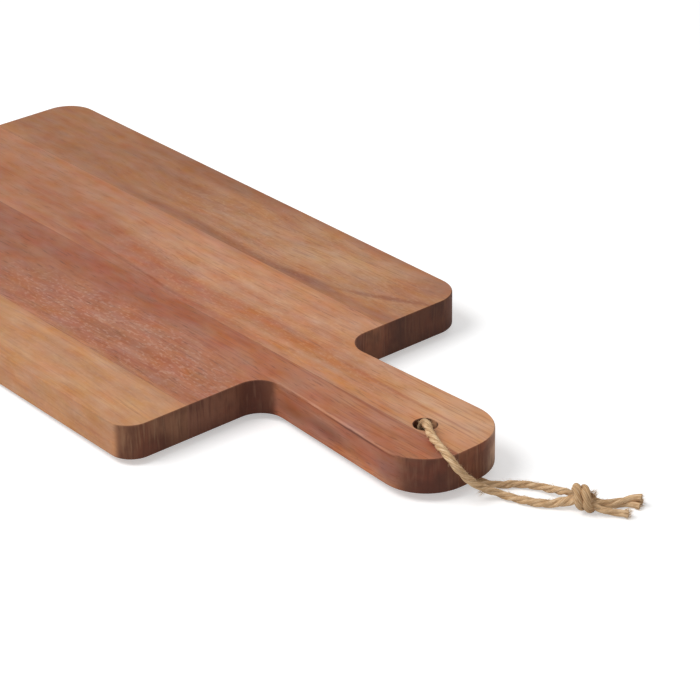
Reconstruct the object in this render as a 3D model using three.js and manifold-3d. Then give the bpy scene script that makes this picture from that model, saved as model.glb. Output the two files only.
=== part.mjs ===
// A serving board of four edge-glued acacia staves with a handle, a hanging hole and a jute cord.
// Millimetres, +Z up. The board lies on a table at z = 0 with its handle along +X. One half of the
// cord passes under the handle, so the board rests on its back edge and on the cord.
import * as THREE from 'three';
import { mergeVertices } from 'three/addons/utils/BufferGeometryUtils.js';
import Module from 'manifold-3d';

const wasm = await Module();
wasm.setup();

// Board
const THICKNESS = 15;
const BODY_LENGTH = 283; // back end to shoulder
const HANDLE_LENGTH = 97; // shoulder to tip
const BODY_WIDTH = 176;
const HANDLE_ROOT_WIDTH = 41;
const HANDLE_TIP_WIDTH = 50;
const NEAR_EDGE_STAVE_WIDTH = 29.5;
const FAR_EDGE_STAVE_WIDTH = 45.5;
const GLUE_THICKNESS = 0.125;
const NEAR_CORNER_RADIUS = 10;
const FAR_CORNER_RADIUS = 14;
const HANDLE_ROOT_RADIUS = 11;
const HANDLE_TIP_RADIUS = 20;
const EDGE_EASE = 0.5; // radius of the rubbed-down edges
const HOLE_DIAMETER = 9.4;
const HOLE_SETBACK = 25; // hole's axis to the tip
const HOLE_EASE = 0.4;
const HOLE_TO_JOINT = 0.6; // wood left between the hole's rim and the middle glue line

// Cord
const CORD_DIAMETER = 3.3;
const CLEARANCE = 0.3; // between the cord, the board and the knot

// Routes of the cord's middle line, from the point on the table under the hole's axis
const THROUGH_ROUTE = [
  [3.3, 1.6, 1.7], [1.2, 1.0, 2.2], [-0.9, 0.5, 3.6], [-2.2, 0.1, 5.7], [-2.7, 0.0, 8.2],
  [-2.7, 0.0, 11.2], [-2.7, 0.0, 14.0], [-2.2, -0.1, 16.7], [-0.8, -0.5, 18.9], [1.4, -1.5, 20.4],
  [4.1, -2.9, 21.0], [8.9, -5.8, 20.9], [15.1, -8.5, 20.8], [21.1, -10.7, 20.9], [25.6, -11.5, 19.8],
  [28.7, -10.7, 17.0], [30.2, -8.5, 13.4], [31.0, -5.0, 9.3], [31.9, -1.2, 6.0], [33.6, 2.2, 3.8],
  [36.6, 5.0, 2.4], [41.0, 7.3, 1.8], [46.0, 9.7, 1.8], [51.4, 13.2, 1.8], [54.4, 16.0, 2.2],
  [56.2, 18.0, 2.9],
];
const UNDER_ROUTE = [
  [3.6, 1.7, 1.7], [10.0, 3.3, 1.7], [17.0, 4.9, 1.7], [23.5, 6.4, 1.7], [27.6, 7.8, 1.7],
  [30.6, 10.2, 1.7], [35.0, 15.8, 1.7], [41.0, 19.7, 1.9], [46.8, 21.0, 2.8], [51.6, 20.9, 4.3],
  [54.6, 20.6, 5.4],
];
const LONG_TAIL_ROUTE = [
  [67.2, 28.0, 3.2], [68.2, 29.6, 2.7], [68.8, 32.0, 2.1], [69.4, 34.8, 1.8], [70.7, 37.5, 1.8],
  [72.7, 39.4, 1.9], [75.0, 40.7, 1.9],
];
const SHORT_TAIL_ROUTE = [
  [69.6, 25.1, 2.5], [71.1, 26.8, 2.2], [73.3, 28.6, 1.8], [75.4, 30.2, 1.8], [77.3, 31.6, 1.8],
];

// Knot: the cord's two ends wrapped side by side round their own core
const KNOT_CENTRE = [62.3, 22.5, 5.2];
const KNOT_TURN = 36.9; // degrees from +X to the knot's axis, on the table
const KNOT_CORE_LENGTH = 12;
const KNOT_CORE_DIAMETER = 7.8;
const WRAP_DIAMETER = 7; // at the middle of the cord
const WRAP_PITCH = 5.8;
const WRAP_MIDDLES = [-2.2, 0.8]; // along the axis, where each wrap crosses the front
const WRAP_FIRST_ANGLE = -20; // degrees from the top towards the front
const WRAP_LAST_ANGLE = 290;
const KNOT_LEAD = 2.5; // length over which a strand keeps its direction as it enters the knot

// Facets
const CORNER_STEPS = 5; // half the facets of each rounded corner
const EASE_STEPS = 2;
const HOLE_SIDES = 24;
const CORD_SIDES = 8;
const CORD_STEP = 3;
const WRAP_STEP = 1.8;
const WRAP_ANGLE_STEP = 31;

const backX = -(BODY_LENGTH + HANDLE_LENGTH) / 2;
const shoulderX = backX + BODY_LENGTH;
const tipX = shoulderX + HANDLE_LENGTH;
const holeX = tipX - HOLE_SETBACK;
const restX = backX + EDGE_EASE;
const nearJointY = NEAR_EDGE_STAVE_WIDTH - BODY_WIDTH / 2;
const middleJointY = -(HOLE_DIAMETER / 2 + HOLE_EASE + HOLE_TO_JOINT + GLUE_THICKNESS);
const farJointY = BODY_WIDTH / 2 - FAR_EDGE_STAVE_WIDTH - GLUE_THICKNESS;
const tilt = Math.asin((CORD_DIAMETER + CLEARANCE) / (holeX + HOLE_DIAMETER / 2 - restX));

function solidOf(geometry) {
  geometry.deleteAttribute('normal');
  geometry.deleteAttribute('uv');
  const merged = mergeVertices(geometry, 1e-4);
  return new wasm.Manifold(new wasm.Mesh({
    numProp: 3,
    vertProperties: new Float32Array(merged.attributes.position.array),
    triVerts: new Uint32Array(merged.index.array),
  }));
}

function geometryOf(solid) {
  const { vertProperties, triVerts } = solid.getMesh();
  const geometry = new THREE.BufferGeometry();
  geometry.setAttribute('position', new THREE.BufferAttribute(vertProperties, 3));
  geometry.setIndex(new THREE.BufferAttribute(triVerts, 1));
  geometry.computeVertexNormals();
  return geometry;
}

// A closed outline of straight sides joined by arcs; corners are [x, y, radius], anticlockwise.
function roundedShape(corners) {
  const shape = new THREE.Shape();
  corners.forEach(([x, y, radius], i) => {
    const corner = new THREE.Vector2(x, y);
    const [beforeX, beforeY] = corners.at(i - 1);
    const [afterX, afterY] = corners[(i + 1) % corners.length];
    const back = new THREE.Vector2(beforeX, beforeY).sub(corner).normalize();
    const ahead = new THREE.Vector2(afterX, afterY).sub(corner).normalize();
    const halfAngle = back.angleTo(ahead) / 2;
    const setback = radius / Math.tan(halfAngle);
    const centre = back.clone().add(ahead).setLength(radius / Math.sin(halfAngle)).add(corner);
    const start = back.clone().multiplyScalar(setback).add(corner).sub(centre);
    const end = ahead.clone().multiplyScalar(setback).add(corner).sub(centre);
    const turnsRight = back.cross(ahead) > 0;
    shape.absarc(centre.x, centre.y, radius, start.angle(), end.angle(), turnsRight);
  });
  return shape;
}

// The whole glued-up blank with its handle, eased edges and hanging hole.
function boardSolid() {
  const side = BODY_WIDTH / 2;
  const root = HANDLE_ROOT_WIDTH / 2;
  const tip = HANDLE_TIP_WIDTH / 2;
  const outline = roundedShape([
    [backX, -side, NEAR_CORNER_RADIUS],
    [shoulderX, -side, NEAR_CORNER_RADIUS],
    [shoulderX, -root, HANDLE_ROOT_RADIUS],
    [tipX, -tip, HANDLE_TIP_RADIUS],
    [tipX, tip, HANDLE_TIP_RADIUS],
    [shoulderX, root, HANDLE_ROOT_RADIUS],
    [shoulderX, side, FAR_CORNER_RADIUS],
    [backX, side, FAR_CORNER_RADIUS],
  ]);
  const blank = new THREE.ExtrudeGeometry(outline, {
    depth: THICKNESS - 2 * EDGE_EASE,
    bevelThickness: EDGE_EASE,
    bevelSize: EDGE_EASE,
    bevelOffset: -EDGE_EASE,
    bevelSegments: EASE_STEPS,
    curveSegments: CORNER_STEPS,
  });
  blank.translate(0, 0, EDGE_EASE);
  return solidOf(blank).subtract(solidOf(drillGeometry()));
}

// The shape the drill and countersink take out of the blank, standing on the hole's axis.
function drillGeometry() {
  const radius = HOLE_DIAMETER / 2;
  const past = THICKNESS / 2; // reach beyond each face
  const rim = radius + HOLE_EASE + past;
  const profile = [
    [0, -past], [rim, -past], [radius, HOLE_EASE],
    [radius, THICKNESS - HOLE_EASE], [rim, THICKNESS + past], [0, THICKNESS + past],
  ].map(([r, z]) => new THREE.Vector2(r, z));
  const drill = new THREE.LatheGeometry(profile, HOLE_SIDES);
  drill.rotateX(Math.PI / 2);
  drill.translate(holeX, 0, 0);
  return drill;
}

// A block that takes in everything between two planes across the board's width.
function slabGeometry(nearY, farY) {
  const slab = new THREE.BoxGeometry(2 * (BODY_LENGTH + HANDLE_LENGTH), 1, 4 * THICKNESS);
  const { position } = slab.attributes;
  for (let i = 0; i < position.count; i += 1) {
    position.setY(i, position.getY(i) > 0 ? farY : nearY);
  }
  return slab;
}

// A round cord along a curve, closed at both ends.
function cordGeometry(curve, step) {
  const corners = Array.from({ length: CORD_SIDES }, (_, i) => {
    const angle = ((i + 0.5) / CORD_SIDES) * 2 * Math.PI;
    return new THREE.Vector2(Math.cos(angle), Math.sin(angle)).multiplyScalar(CORD_DIAMETER / 2);
  });
  return new THREE.ExtrudeGeometry(new THREE.Shape(corners), {
    extrudePath: curve,
    steps: Math.ceil(curve.getLength() / step),
    bevelEnabled: false,
  });
}

function routeCurve(points) {
  return new THREE.CatmullRomCurve3(points.map((point) => new THREE.Vector3(...point)));
}

function woodMaterial(color) {
  return new THREE.MeshStandardMaterial({ color, roughness: 0.6, metalness: 0 });
}

function juteMaterial() {
  return new THREE.MeshStandardMaterial({ color: 0xb9966a, roughness: 0.95, metalness: 0 });
}

function namedMesh(name, geometry, material) {
  const mesh = new THREE.Mesh(geometry, material);
  mesh.name = name;
  return mesh;
}

// Board: staves and glue lines, cut from the blank between planes from the near side to the far side
const STRIPS = [
  ['near_edge_stave', -BODY_WIDTH, nearJointY, 0xc4936c],
  ['near_glue_line', nearJointY, nearJointY + GLUE_THICKNESS, 0x6b4027],
  ['near_handle_stave', nearJointY + GLUE_THICKNESS, middleJointY, 0xb07658],
  ['middle_glue_line', middleJointY, middleJointY + GLUE_THICKNESS, 0x6b4027],
  ['far_handle_stave', middleJointY + GLUE_THICKNESS, farJointY, 0xc48a66],
  ['far_glue_line', farJointY, farJointY + GLUE_THICKNESS, 0x6b4027],
  ['far_edge_stave', farJointY + GLUE_THICKNESS, BODY_WIDTH, 0xb48565],
];

const board = new THREE.Group();
board.position.x = restX;
board.rotation.y = -tilt;
const blank = boardSolid();
for (const [name, nearY, farY, color] of STRIPS) {
  const strip = blank.intersect(solidOf(slabGeometry(nearY, farY)));
  const mesh = namedMesh(name, geometryOf(strip), woodMaterial(color));
  mesh.position.x = -restX;
  board.add(mesh);
}

// Cord: stretches, tails and knot, placed from the hole
const cord = new THREE.Group();
cord.position.x = holeX;
const strands = {
  cord_through_hole: routeCurve(THROUGH_ROUTE),
  cord_under_handle: routeCurve(UNDER_ROUTE),
  cord_long_tail: routeCurve(LONG_TAIL_ROUTE),
  cord_short_tail: routeCurve(SHORT_TAIL_ROUTE),
};
for (const [name, curve] of Object.entries(strands)) {
  cord.add(namedMesh(name, cordGeometry(curve, CORD_STEP), juteMaterial()));
}

const knotCentre = new THREE.Vector3(...KNOT_CENTRE);
const knotAxis = new THREE.Vector3(1, 0, 0);
knotAxis.applyAxisAngle(new THREE.Vector3(0, 0, 1), THREE.MathUtils.degToRad(KNOT_TURN));
const knotUp = new THREE.Vector3(0, 0, 1);
const knotFront = knotAxis.clone().cross(knotUp);

// A point by its place along the knot's axis, its angle from the top, and its distance from the axis.
function knotPoint(along, degrees, distance) {
  const angle = THREE.MathUtils.degToRad(degrees);
  return knotCentre.clone()
    .addScaledVector(knotAxis, along)
    .addScaledVector(knotUp, Math.cos(angle) * distance)
    .addScaledVector(knotFront, Math.sin(angle) * distance);
}

function wrapGeometry(middle) {
  const radius = WRAP_DIAMETER / 2;
  const along = (degrees) => middle + (WRAP_PITCH * (degrees - 90)) / 360;
  const points = [knotPoint(along(WRAP_FIRST_ANGLE), WRAP_FIRST_ANGLE - WRAP_ANGLE_STEP, radius / 2)];
  for (let angle = WRAP_FIRST_ANGLE; angle <= WRAP_LAST_ANGLE; angle += WRAP_ANGLE_STEP) {
    points.push(knotPoint(along(angle), angle, radius));
  }
  points.push(knotPoint(along(WRAP_LAST_ANGLE), WRAP_LAST_ANGLE + WRAP_ANGLE_STEP, radius / 2));
  return cordGeometry(new THREE.CatmullRomCurve3(points), WRAP_STEP);
}

// A strand's way from where its free stretch stops to the middle of the knot.
function strandIntoKnot(end, direction) {
  const start = end.clone().addScaledVector(direction, CLEARANCE);
  const lead = start.clone().addScaledVector(direction, KNOT_LEAD);
  return cordGeometry(new THREE.QuadraticBezierCurve3(start, lead, knotCentre), CORD_STEP);
}

const core = new THREE.SphereGeometry(KNOT_CORE_DIAMETER / 2, CORD_SIDES * 2, CORD_SIDES);
core.scale(KNOT_CORE_LENGTH / KNOT_CORE_DIAMETER, 1, 1);
core.rotateZ(THREE.MathUtils.degToRad(KNOT_TURN));
core.translate(knotCentre.x, knotCentre.y, knotCentre.z);
let knot = solidOf(core);
for (const middle of WRAP_MIDDLES) {
  knot = knot.add(solidOf(wrapGeometry(middle)));
}
for (const name of ['cord_through_hole', 'cord_under_handle']) {
  knot = knot.add(solidOf(strandIntoKnot(strands[name].getPoint(1), strands[name].getTangent(1))));
}
for (const name of ['cord_long_tail', 'cord_short_tail']) {
  knot = knot.add(solidOf(strandIntoKnot(strands[name].getPoint(0), strands[name].getTangent(0).negate())));
}
cord.add(namedMesh('cord_knot', geometryOf(knot), juteMaterial()));

const servingBoard = new THREE.Group();
servingBoard.add(board, cord);

export default servingBoard;
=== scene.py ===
# %% [markdown]
# # A serving board and its hanging cord
# The board is a thin panel of acacia: staves glued edge to edge, sawn to a paddle outline, drilled
# and oiled. A length of jute twine goes through the hole, and its two ends are tied in one knot.
# The imported model has the true places and sizes, so it is loaded first.

# %% Load the imported model
import math
import random

import bmesh
import bpy
from mathutils import Matrix, Vector, geometry, noise


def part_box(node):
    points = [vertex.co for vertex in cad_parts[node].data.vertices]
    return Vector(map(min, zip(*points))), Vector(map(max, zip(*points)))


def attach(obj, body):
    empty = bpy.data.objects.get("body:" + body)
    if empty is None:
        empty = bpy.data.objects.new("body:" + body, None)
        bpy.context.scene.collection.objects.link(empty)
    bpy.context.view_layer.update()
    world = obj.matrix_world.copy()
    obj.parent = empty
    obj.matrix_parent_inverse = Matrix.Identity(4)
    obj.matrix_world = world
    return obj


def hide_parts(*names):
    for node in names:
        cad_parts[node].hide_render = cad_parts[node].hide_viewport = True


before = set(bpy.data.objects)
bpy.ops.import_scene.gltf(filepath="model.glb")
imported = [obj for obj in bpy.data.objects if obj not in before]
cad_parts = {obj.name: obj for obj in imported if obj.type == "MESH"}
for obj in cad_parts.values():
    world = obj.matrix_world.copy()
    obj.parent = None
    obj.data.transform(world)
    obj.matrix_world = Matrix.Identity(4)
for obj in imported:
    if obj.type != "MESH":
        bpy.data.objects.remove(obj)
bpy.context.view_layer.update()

print("nodes:", sorted(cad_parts))

# %% [markdown]
# ## Camera
# The photograph was taken from the handle's end, a little above the board, with a long lens. A
# camera can be moved by hand until the picture looks right, but that leaves the lens a guess. So
# the place, the point aimed at and the lens were fitted to the board's corners and edges. The
# picture is square, so the sensor is too, and a small roll sets the camera as level as it was.

# %% Make the camera
MM = 0.001
CAMERA_PLACE = Vector((786.1, -564.8, 502.9)) * MM
CAMERA_AIM = Vector((91.7, 25.0, 12.0)) * MM
CAMERA_ROLL = math.radians(-0.54)
LENS, SENSOR = 131.47, 36.0  # Blender counts these two in millimetres

camera = bpy.data.objects.new("camera", bpy.data.cameras.new("camera"))
camera.data.lens = LENS
camera.data.sensor_width = SENSOR
camera.location = CAMERA_PLACE
facing = (CAMERA_AIM - CAMERA_PLACE).to_track_quat("-Z", "Y").to_matrix()
camera.rotation_euler = (facing @ Matrix.Rotation(CAMERA_ROLL, 3, "Z")).to_euler()
bpy.context.scene.collection.objects.link(camera)
bpy.context.scene.camera = camera
print("camera distance:", round((CAMERA_AIM - CAMERA_PLACE).length, 3), "m")

# %% [markdown]
# ## Finished pieces
# Every piece ends the same way, so one function does it: the mesh goes into an object at the
# origin, rides on the part's only body and stands for the CAD nodes that it replaces. Faces are
# shaded smooth, and edges that turn by more than 40 degrees stay sharp.

# %% Turn a bmesh into a piece
SHARP_ANGLE = math.radians(40)


def finish_piece(bm, name, slot, *replaced):
    mesh = bpy.data.meshes.new(name)
    bm.to_mesh(mesh)
    bm.free()
    mesh.shade_smooth()
    mesh.set_sharp_from_angle(angle=SHARP_ANGLE)
    piece = bpy.data.objects.new(name, mesh)
    bpy.context.scene.collection.objects.link(piece)
    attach(piece, "root")
    if replaced:
        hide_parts(*replaced)
    print(name, "has", len(mesh.polygons), "faces")
    return piece


# %% [markdown]
# ## The glued-up blank
# A joiner glues the staves first and saws the outline afterwards, so the outline runs across the
# joints. The outline could be a curve, but then each round is a pair of handles to place by eye.
# Here the blank starts as one flat face with sharp corners and is extruded to the board's
# thickness. Bevels then round the corners in plan, each by its own radius, and a small one rubs
# down the edges.

# %% Board sizes, as in the CAD
THICKNESS = 15 * MM
BODY_LENGTH = 283 * MM
HANDLE_LENGTH = 97 * MM
BODY_WIDTH = 176 * MM
HANDLE_ROOT_WIDTH = 41 * MM
HANDLE_TIP_WIDTH = 50 * MM
NEAR_CORNER_RADIUS = 10 * MM
FAR_CORNER_RADIUS = 14 * MM
HANDLE_ROOT_RADIUS = 11 * MM
HANDLE_TIP_RADIUS = 20 * MM
EDGE_EASE = 0.5 * MM

back_x = -(BODY_LENGTH + HANDLE_LENGTH) / 2
shoulder_x = back_x + BODY_LENGTH
tip_x = shoulder_x + HANDLE_LENGTH
half_body = BODY_WIDTH / 2
half_root = HANDLE_ROOT_WIDTH / 2
half_tip = HANDLE_TIP_WIDTH / 2
# Corners in plan, anticlockwise: x, y and the radius of the finished corner
CORNERS = [
    (back_x, -half_body, NEAR_CORNER_RADIUS), (shoulder_x, -half_body, NEAR_CORNER_RADIUS),
    (shoulder_x, -half_root, HANDLE_ROOT_RADIUS), (tip_x, -half_tip, HANDLE_TIP_RADIUS),
    (tip_x, half_tip, HANDLE_TIP_RADIUS), (shoulder_x, half_root, HANDLE_ROOT_RADIUS),
    (shoulder_x, half_body, FAR_CORNER_RADIUS), (back_x, half_body, FAR_CORNER_RADIUS),
]
print("board:", round((tip_x - back_x) / MM), "by", round(BODY_WIDTH / MM), "mm")

# %% Extrude the outline and round its corners
CORNER_SEGMENTS = 14
EASE_SEGMENTS = 4
SAME_PLACE = 1e-6  # two places nearer than this are one


def corner_setback(i):
    """How far from a sharp corner its round starts, for the corner's radius."""
    corner, before, after = (Vector(CORNERS[k % len(CORNERS)][:2]) for k in (i, i - 1, i + 1))
    return CORNERS[i][2] / math.tan((before - corner).angle(after - corner) / 2)


blank = bmesh.new()
outline = blank.faces.new([blank.verts.new((x, y, 0)) for x, y, _ in CORNERS])
raised = bmesh.ops.extrude_face_region(blank, geom=[outline])["geom"]
top_points = [v for v in raised if isinstance(v, bmesh.types.BMVert)]
bmesh.ops.translate(blank, verts=top_points, vec=(0, 0, THICKNESS))
bmesh.ops.recalc_face_normals(blank, faces=blank.faces)
for i, (x, y, _) in enumerate(CORNERS):
    upright = [e for e in blank.edges
               if all((v.co.xy - Vector((x, y))).length < SAME_PLACE for v in e.verts)]
    bmesh.ops.bevel(blank, geom=upright, offset=corner_setback(i), offset_type="OFFSET",
                    segments=CORNER_SEGMENTS, profile=0.5, affect="EDGES", material=-1)
rim = [e for e in blank.edges if abs(e.verts[0].co.z - e.verts[1].co.z) < SAME_PLACE]
bmesh.ops.bevel(blank, geom=rim, offset=EDGE_EASE, offset_type="OFFSET",
                segments=EASE_SEGMENTS, profile=0.5, affect="EDGES", material=-1)
print("blank:", len(blank.faces), "faces")

# %% [markdown]
# ## Staves
# Each stave is the part of the blank between two joints. A boolean could cut it out, but a plane
# leaves cleaner faces: a copy of the blank is cut at each joint and closed with one flat face. The
# hanging hole lies just inside one stave. Planes mark out a small rectangle round it on both
# faces, an inset of that rectangle is pulled to a circle, and a bridge makes the wall. The cord
# under the handle lifts it a little, so the staves are turned about the board's back edge.

# %% Joint and hole sizes, as in the CAD
NEAR_EDGE_STAVE_WIDTH = 29.5 * MM
FAR_EDGE_STAVE_WIDTH = 45.5 * MM
GLUE_THICKNESS = 0.125 * MM
HOLE_DIAMETER = 9.4 * MM
HOLE_SETBACK = 25 * MM  # from the handle's tip to the hole's axis
HOLE_EASE = 0.4 * MM
HOLE_TO_JOINT = 0.6 * MM  # wood left between the hole's eased rim and the joint
CORD_DIAMETER = 3.3 * MM
CLEARANCE = 0.3 * MM  # between the handle and the cord under it

hole_x = tip_x - HOLE_SETBACK
near_joint = NEAR_EDGE_STAVE_WIDTH - half_body
middle_joint = -(HOLE_DIAMETER / 2 + HOLE_EASE + HOLE_TO_JOINT + GLUE_THICKNESS)
far_joint = half_body - FAR_EDGE_STAVE_WIDTH - GLUE_THICKNESS
rest_x = back_x + EDGE_EASE  # where the back edge rests on the table
tilt = math.asin((CORD_DIAMETER + CLEARANCE) / (hole_x + HOLE_DIAMETER / 2 - rest_x))
print("the cord lifts the handle by", round(math.degrees(tilt), 2), "degrees")


# %% Cut a stave out of the blank
def everything(bm):
    return [*bm.verts, *bm.edges, *bm.faces]


def stave_bmesh(near_y, far_y):
    bm = blank.copy()
    for y, outward in ((near_y, -1), (far_y, 1)):
        if abs(y) < half_body:
            cut = bmesh.ops.bisect_plane(bm, geom=everything(bm), plane_co=(0, y, 0),
                                         plane_no=(0, outward, 0), clear_outer=True)["geom_cut"]
            cut_edges = [e for e in cut if isinstance(e, bmesh.types.BMEdge)]
            bmesh.ops.edgeloop_fill(bm, edges=cut_edges)
    bmesh.ops.recalc_face_normals(bm, faces=bm.faces)
    return bm


# %% Drill the hanging hole
MARK_REACH = HOLE_DIAMETER * 0.75  # from the hole's axis to the sides of the marked rectangle
LEVEL = 0.99  # a face is level where its normal's height is past this
HOLE_CUTS = 11  # new points on each side of the marked rectangle
FIRST_INSET = 0.05 * MM  # any small inset does, because its points then move to the circle
HOLE_EASE_SEGMENTS = 3


def drill(bm):
    planes = (((hole_x - MARK_REACH, 0, 0), (1, 0, 0)), ((hole_x + MARK_REACH, 0, 0), (1, 0, 0)),
              ((0, MARK_REACH, 0), (0, 1, 0)))
    for place, square_to in planes:
        bmesh.ops.bisect_plane(bm, geom=everything(bm), plane_co=place, plane_no=square_to)
    level = {f: f.calc_center_median() for f in bm.faces if abs(f.normal.z) > LEVEL}
    marked = [f for f, middle in level.items()
              if abs(middle.x - hole_x) < MARK_REACH and middle.y < MARK_REACH]
    bmesh.ops.subdivide_edges(bm, edges=list({e for f in marked for e in f.edges}), cuts=HOLE_CUTS)
    bmesh.ops.inset_individual(bm, faces=marked, thickness=FIRST_INSET)
    for v in [v for face in marked for v in face.verts]:
        away = Vector((v.co.x - hole_x, v.co.y)).normalized() * (HOLE_DIAMETER / 2)
        v.co.xy = Vector((hole_x, 0)) + away
    rims = list({e for f in marked for e in f.edges})
    bmesh.ops.delete(bm, geom=marked, context="FACES_ONLY")
    wall = bmesh.ops.bridge_loops(bm, edges=rims)["faces"]
    arris = list({e for f in wall for e in f.edges if len(set(e.link_faces) - set(wall)) == 1})
    bmesh.ops.bevel(bm, geom=arris, offset=HOLE_EASE, offset_type="OFFSET",
                    segments=HOLE_EASE_SEGMENTS, profile=0.5, affect="EDGES", material=-1)


# %% Make the staves and lean them on the cord
STAVES = {  # near side, far side and slot; the two outer sides lie past the blank and cut nothing
    "near_edge_stave": (-BODY_WIDTH, near_joint, "near_edge_wood"),
    "near_handle_stave": (near_joint + GLUE_THICKNESS, middle_joint, "near_handle_wood"),
    "far_handle_stave": (middle_joint + GLUE_THICKNESS, far_joint, "far_handle_wood"),
    "far_edge_stave": (far_joint + GLUE_THICKNESS, BODY_WIDTH, "far_edge_wood"),
}
staves = {}
for node_name, (near_y, far_y, slot) in STAVES.items():
    bm = stave_bmesh(near_y, far_y)
    if near_y < 0 < far_y:
        drill(bm)
    lean = Matrix.Rotation(-tilt, 3, "Y")
    bmesh.ops.rotate(bm, verts=bm.verts, cent=(rest_x, 0, 0), matrix=lean)
    stave = finish_piece(bm, "acacia_" + node_name, slot, node_name)
    stave.modifiers.new("flat faces stay flat", "WEIGHTED_NORMAL").keep_sharp = True
    staves[node_name] = stave
blank.free()

# %% [markdown]
# ## Colours and nodes
# Colours are written as they look on a screen, and one function turns them to the linear values
# that light needs. Nodes could be wired by hand in the editor, but in a script every setting can
# be read. One small function adds a node: settings are its properties, and inputs are values or
# sockets. Each material starts with the Principled shader that Blender puts in it.

# %% Three helpers
def linear(code):
    channels = [int(code[i:i + 2], 16) / 255 for i in (1, 3, 5)]
    return (*(c / 12.92 if c <= 0.04045 else ((c + 0.055) / 1.055) ** 2.4 for c in channels), 1.0)


def add_node(tree, kind, inputs, **settings):
    node = tree.nodes.new(kind)
    for name, value in settings.items():
        setattr(node, name, value)
    for socket, value in inputs.items():
        if isinstance(value, bpy.types.NodeSocket):
            tree.links.new(value, node.inputs[socket])
        else:
            node.inputs[socket].default_value = value
    return node


def new_material(name):
    material = bpy.data.materials.new(name)
    material.use_nodes = True
    return material, material.node_tree, material.node_tree.nodes["Principled BSDF"]


print("mid tan is", [round(c, 3) for c in linear("#c08d6a")[:3]])

# %% [markdown]
# ## Oiled acacia
# Acacia is a warm brown hardwood. Sawn along the trunk, its growth rings show as long soft bands
# that wander slowly, with finer lines, hair-thin fibres, short pale flecks and dark pores along
# them. Sanding and oil leave it matte. Sawn ends drink more oil, so faces that look along the
# board turn dark, with fine upright saw marks. A picture of wood would have to be fitted to each
# face, but noise in the object's own coordinates goes right through the board, so its faces agree
# at every edge. The noise is stretched along the board, once for each kind of grain and at that
# grain's own size. The few streaks that stand out are soft ellipses.

# %% Grain: bands, lines, fibres, flecks and pores
GRAIN_SIZES = {  # length and width in mm
    "band": (330, 17),
    "line": (210, 3.6),
    "fibre": (26, 0.9),
    "fleck": (2.4, 1.2),
    "pore": (9, 0.7),  # real pores are about 0.2 mm wide, and are drawn coarser so that they show
}
GRAIN_SHIFT = (7.3, 3.1, 0)  # from one noise to the next, so that they differ
DRIFT_SIZE = (110, 40, 40)  # stretch of wood over which the grain strays one way, in mm


def acacia_grain(tree, wander):
    """Noise along X for each grain size. Wander is how far, in mm, the grain strays sideways."""
    spot = add_node(tree, "ShaderNodeTexCoord", {}).outputs["Object"]
    place = add_node(tree, "ShaderNodeVectorMath", {0: spot, 1: (1 / MM, 1 / MM, 1 / MM)},
                     operation="MULTIPLY").outputs[0]
    slow = add_node(tree, "ShaderNodeMapping",
                    {"Vector": place, "Scale": [1 / side for side in DRIFT_SIZE]})
    drift = add_node(tree, "ShaderNodeTexNoise",
                     {"Vector": slow.outputs[0], "Scale": 1, "Detail": 1}).outputs["Color"]
    sway = add_node(tree, "ShaderNodeVectorMath",
                    {0: drift, 1: (0, 2 * wander, 2 * wander), 2: (0, -wander, -wander)},
                    operation="MULTIPLY_ADD").outputs[0]
    along = add_node(tree, "ShaderNodeVectorMath", {0: place, 1: sway}, operation="ADD").outputs[0]
    grain = {"place": place, "along": along}
    for turn, (name, (length, width)) in enumerate(GRAIN_SIZES.items()):
        stretched = add_node(tree, "ShaderNodeMapping",
                             {"Vector": along, "Location": [turn * shift for shift in GRAIN_SHIFT],
                              "Scale": (1 / length, 1 / width, 1 / width)}).outputs[0]
        grain[name] = add_node(tree, "ShaderNodeTexNoise",
                               {"Vector": stretched, "Scale": 1, "Detail": 2}).outputs["Fac"]
    return grain


# %% Tint and streak a colour
def tint(tree, colour, code, amount, low, high, strength):
    """Mixes in a colour where an amount goes from low to high. A Mix node has sockets for each
    type: its two colours go in at 6 and 7, and their mix comes out at 2."""
    share = add_node(tree, "ShaderNodeMapRange",
                     {"Value": amount, "From Min": low, "From Max": high, "To Max": strength},
                     interpolation_type="SMOOTHSTEP")
    return add_node(tree, "ShaderNodeMix", {0: share.outputs[0], 6: colour, 7: linear(code)},
                    data_type="RGBA").outputs[2]


THROUGH = 1e4  # the height of a streak with no end in depth, in mm
STREAK_FULL = 0.75  # a streak has its whole strength where its ellipse is past this


def ellipse(tree, grain, centre, size, degrees):
    """One in the middle of a soft ellipse and none at its rim: centre and size in mm, turned on the
    board. A streak right through the wood strays with the grain, and a patch stays in its place."""
    spot = grain["along"] if size[2] == THROUGH else grain["place"]
    centred = add_node(tree, "ShaderNodeMapping",
                       {"Vector": spot, "Location": centre, "Scale": [side / 2 for side in size],
                        "Rotation": (0, 0, math.radians(degrees))}, vector_type="TEXTURE")
    return add_node(tree, "ShaderNodeTexGradient", {"Vector": centred.outputs[0]},
                    gradient_type="SPHERICAL").outputs["Fac"]


def streak(tree, grain, colour, code, centre, size, degrees, strength):
    """Mixes in a colour over one soft ellipse."""
    shape = ellipse(tree, grain, centre, size, degrees)
    return tint(tree, colour, code, shape, low=0.0, high=STREAK_FULL, strength=strength)


# %% Colour of the long faces
BAND_SHARE, LINE_SHARE = 0.6, 0.4  # of the ground's pattern
GROUND_STOPS = (0.26, 0.42, 0.56, 0.74)  # amounts of pattern that take the four ground colours
FIELD_FULL = 0.6  # flecks have their whole strength where their field is past this
PORE_COLOUR = "#5c3626"


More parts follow.
